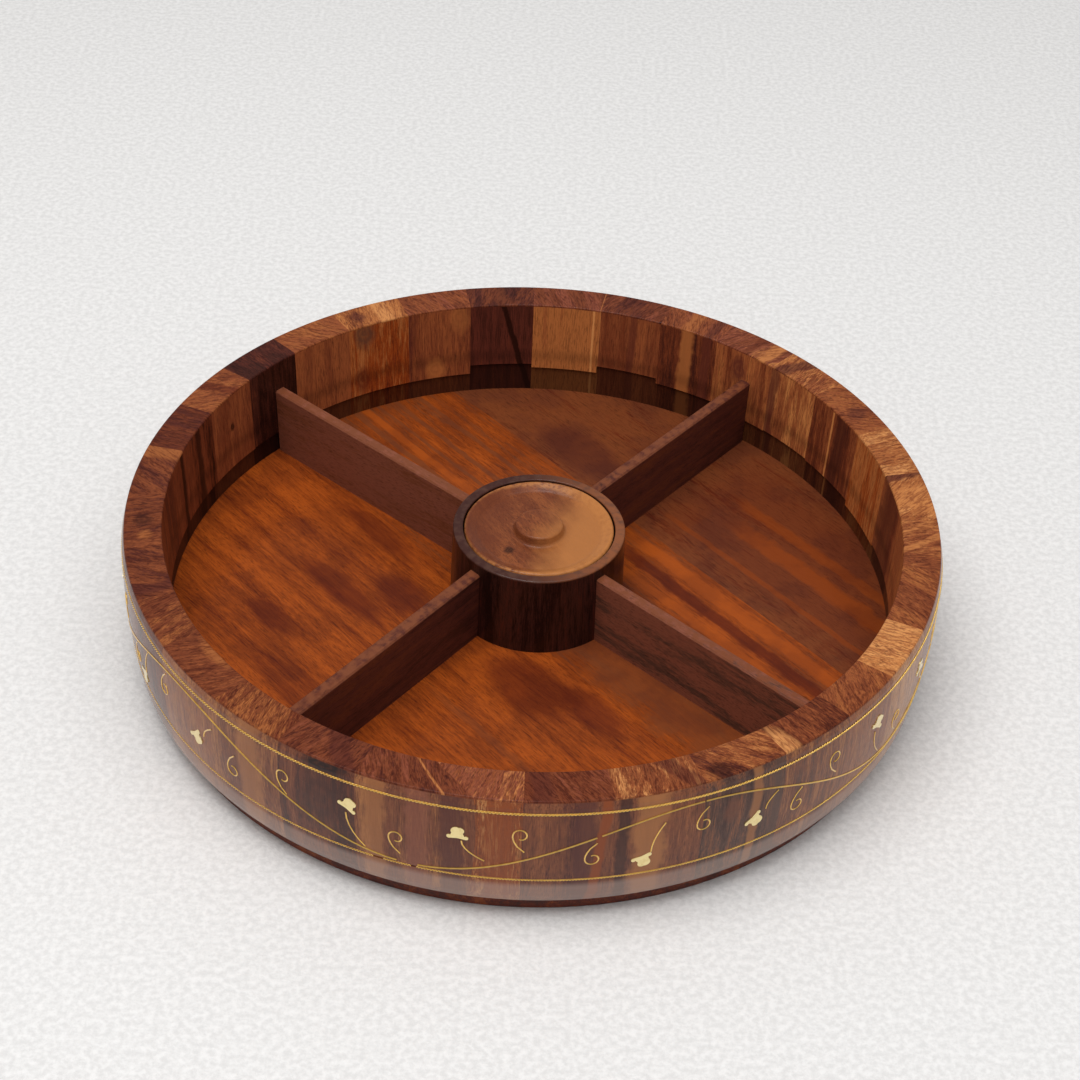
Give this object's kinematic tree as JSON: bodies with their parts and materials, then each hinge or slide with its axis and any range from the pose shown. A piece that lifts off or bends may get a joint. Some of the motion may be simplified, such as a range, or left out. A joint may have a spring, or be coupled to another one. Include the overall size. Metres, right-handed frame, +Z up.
{
  "type": "lazy susan turntable",
  "caption": "Round coopered wooden tray with four compartments round a lidded centre cup and brass inlay on its wall, turning on a ball race over a flat base disc.",
  "frame": {"origin": "centre of the base disc's flat underside, on the turning axis", "axes": "+Z up along the turning axis, +Y towards the back, +X to the right as seen from the front"},
  "size_m": [0.3027, 0.3029, 0.058],
  "materials": {
    "wood_gold": "glossy lacquered golden rosewood sapwood",
    "wood_tan": "glossy lacquered tan-brown rosewood",
    "wood_red": "glossy lacquered red-brown rosewood",
    "wood_dark": "glossy lacquered dark purple-brown rosewood heartwood",
    "brass_wire": "pale polished brass under lacquer",
    "cage_brass": "plain sheet brass",
    "steel": "plain hardened steel"
  },
  "bodies": {
    "base": {"base_disc": "wood_dark"},
    "ball_carrier": {"ball_cage": "cage_brass", "bearing_balls": "steel"},
    "tray": {"stave_01": "wood_gold", "stave_02": "wood_gold", "stave_03": "wood_tan", "stave_04": "wood_tan", "stave_05": "wood_tan", "stave_06": "wood_dark", "stave_07": "wood_red", "stave_08": "wood_tan", "stave_09": "wood_dark", "stave_10": "wood_tan", "stave_11": "wood_gold", "stave_12": "wood_tan", "stave_13": "wood_dark", "stave_14": "wood_gold", "stave_15": "wood_red", "stave_16": "wood_red", "stave_17": "wood_red", "stave_18": "wood_dark", "stave_19": "wood_tan", "stave_20": "wood_red", "stave_21": "wood_dark", "stave_22": "wood_red", "stave_23": "wood_dark", "stave_24": "wood_tan", "stave_25": "wood_red", "stave_26": "wood_gold", "stave_27": "wood_tan", "stave_28": "wood_dark", "stave_29": "wood_red", "stave_30": "wood_gold", "stave_31": "wood_red", "stave_32": "wood_red", "floor_board_1": "wood_gold", "floor_board_2": "wood_gold", "floor_board_3": "wood_tan", "floor_board_4": "wood_red", "divider_back_right": "wood_dark", "divider_back_left": "wood_dark", "divider_front_left": "wood_dark", "divider_front_right": "wood_dark", "hub_cup": "wood_dark", "pivot_screw": "steel", "pivot_washer": "steel", "inlay_upper_rope": "brass_wire", "inlay_lower_rope": "brass_wire", "inlay_vine": "brass_wire", "inlay_curls": "brass_wire", "inlay_stems": "brass_wire", "inlay_flowers": "brass_wire"},
    "lid": {"hub_lid": "wood_tan"}
  },
  "joints": [
    {"name": "tray_spin", "type": "hinge", "parent": "base", "child": "tray", "pos_m": [0, 0, 0.007], "axis": [0, 0, 1], "continuous": true},
    {"name": "ball_orbit", "type": "hinge", "parent": "base", "child": "ball_carrier", "pos_m": [0, 0, 0.0063], "axis": [0, 0, 1], "continuous": true},
    {"name": "lid_lift", "type": "slide", "parent": "tray", "child": "lid", "axis": [0, 0, 1], "range_m": [0, 0.06]}
  ],
  "couplings": [
    {"joint": "ball_orbit", "follows": "tray_spin", "ratio": 0.5}
  ]
}
